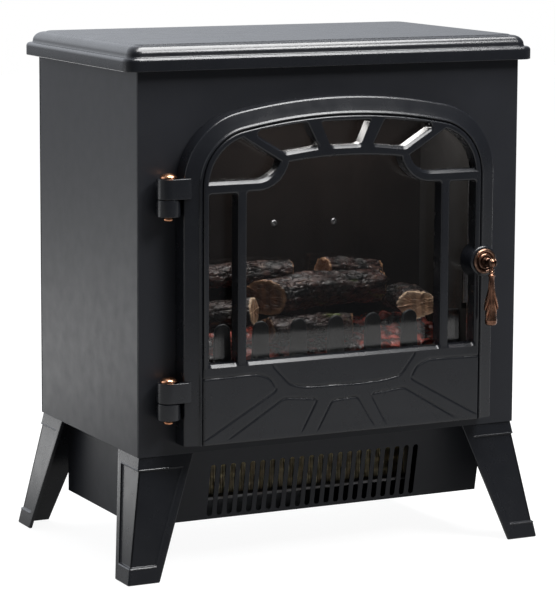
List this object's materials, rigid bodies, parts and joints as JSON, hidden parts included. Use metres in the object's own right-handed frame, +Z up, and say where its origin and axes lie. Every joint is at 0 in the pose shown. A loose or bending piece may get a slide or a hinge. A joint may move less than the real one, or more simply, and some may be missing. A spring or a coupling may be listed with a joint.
{
  "type": "electric fireplace",
  "caption": "Free-standing electric fireplace shaped as a small stove: splayed legs, moulded lid, hinged fretwork glass door, log bed with flame effect, fan heater underneath.",
  "frame": {"origin": "on the floor, in the middle of the overall box", "axes": "+Z up, the door faces -Y, +X to the right seen from the front"},
  "size_m": [0.48, 0.3324, 0.54],
  "materials": {
    "cabinet_steel": "satin black powder coat with a fine grain",
    "black_moulding": "satin black, moulded",
    "inner_black": "matt black",
    "aged_copper": "dark antique copper, polished on the edges",
    "door_glass": "clear tempered glass with a faint smoke tint",
    "charred_bark": "moulded charred bark with grey ash and a red underside",
    "ember_resin": "translucent red-brown resin",
    "screen_acrylic": "dark gloss acrylic",
    "bright_steel": "zinc-plated sheet",
    "fin_aluminium": "bare aluminium",
    "motor_steel": "black lacquered laminations",
    "lamp_glass": "frosted lamp glass",
    "white_moulding": "off-white heat-proof moulding",
    "black_rubber": "matt",
    "switch_black": "gloss"
  },
  "bodies": {
    "cabinet": {"top_lid": "black_moulding", "hinge_bracket_lower": "black_moulding", "hinge_pin_lower": "aged_copper", "hinge_bracket_upper": "black_moulding", "hinge_pin_upper": "aged_copper", "catch_magnet": "inner_black", "front_panel": "cabinet_steel", "left_side_panel": "cabinet_steel", "right_side_panel": "cabinet_steel", "base_plate": "cabinet_steel", "back_panel": "cabinet_steel", "cord_gland": "black_rubber", "control_plate": "black_moulding", "leg_front_left": "black_moulding", "leg_front_right": "black_moulding", "leg_rear_left": "black_moulding", "leg_rear_right": "black_moulding", "outlet_grille": "cabinet_steel", "heater_housing": "cabinet_steel", "element_frame": "bright_steel", "heating_element": "fin_aluminium", "thermal_cutout": "white_moulding", "blower_scroll": "bright_steel", "blower_motor": "motor_steel", "terminal_block": "white_moulding", "firebox_left_wall": "inner_black", "firebox_right_wall": "inner_black", "firebox_roof": "inner_black", "firebox_floor": "inner_black", "flame_screen": "screen_acrylic", "fire_grate": "inner_black", "ember_bed": "ember_resin", "log_top": "charred_bark", "log_front": "charred_bark", "log_left": "charred_bark", "log_right": "charred_bark", "log_rear_left": "charred_bark", "log_rear_right": "charred_bark", "spindle_motor": "bright_steel", "spindle_bracket": "bright_steel", "lampholder_left": "white_moulding", "lamp_left": "lamp_glass", "lampholder_right": "white_moulding", "lamp_right": "lamp_glass"},
    "door": {"door_frame": "black_moulding", "door_glass": "door_glass", "glass_retainer_left": "bright_steel", "glass_retainer_right": "bright_steel", "hinge_leaf_lower": "black_moulding", "hinge_leaf_upper": "black_moulding", "handle_rosette": "aged_copper", "handle_post": "aged_copper", "catch_plate": "bright_steel"},
    "pendant": {"handle_pendant": "aged_copper"},
    "flame_spindle": {"flame_spindle": "bright_steel"},
    "blower_rotor": {"blower_rotor": "fin_aluminium"},
    "thermostat_knob": {"thermostat_knob": "black_moulding"},
    "flame_switch": {"flame_switch": "switch_black"},
    "low_heat_switch": {"low_heat_switch": "switch_black"},
    "high_heat_switch": {"high_heat_switch": "switch_black"}
  },
  "joints": [
    {"name": "door_hinge", "type": "hinge", "parent": "cabinet", "child": "door", "pos_m": [-0.192, -0.12885, 0.3], "axis": [0, 0, 1], "range_deg": [-115, 0]},
    {"name": "pendant_swing", "type": "hinge", "parent": "door", "child": "pendant", "pos_m": [0.1635, -0.16015, 0.306], "axis": [1, 0, 0], "range_deg": [-90, 10]},
    {"name": "spindle_spin", "type": "hinge", "parent": "cabinet", "child": "flame_spindle", "pos_m": [0, 0.04915, 0.262], "axis": [1, 0, 0], "continuous": true},
    {"name": "rotor_spin", "type": "hinge", "parent": "cabinet", "child": "blower_rotor", "pos_m": [0, 0.05484, 0.082], "axis": [1, 0, 0], "continuous": true},
    {"name": "thermostat_turn", "type": "hinge", "parent": "cabinet", "child": "thermostat_knob", "pos_m": [-0.135, 0.14895, 0.382], "axis": [0, -1, 0], "range_deg": [0, 270]},
    {"name": "flame_switch_rock", "type": "hinge", "parent": "cabinet", "child": "flame_switch", "pos_m": [-0.149, 0.14595, 0.468], "axis": [1, 0, 0], "range_deg": [-14, 0]},
    {"name": "low_heat_switch_rock", "type": "hinge", "parent": "cabinet", "child": "low_heat_switch", "pos_m": [-0.121, 0.14595, 0.468], "axis": [1, 0, 0], "range_deg": [-14, 0]},
    {"name": "high_heat_switch_rock", "type": "hinge", "parent": "cabinet", "child": "high_heat_switch", "pos_m": [-0.135, 0.14595, 0.438], "axis": [1, 0, 0], "range_deg": [-14, 0]}
  ]
}
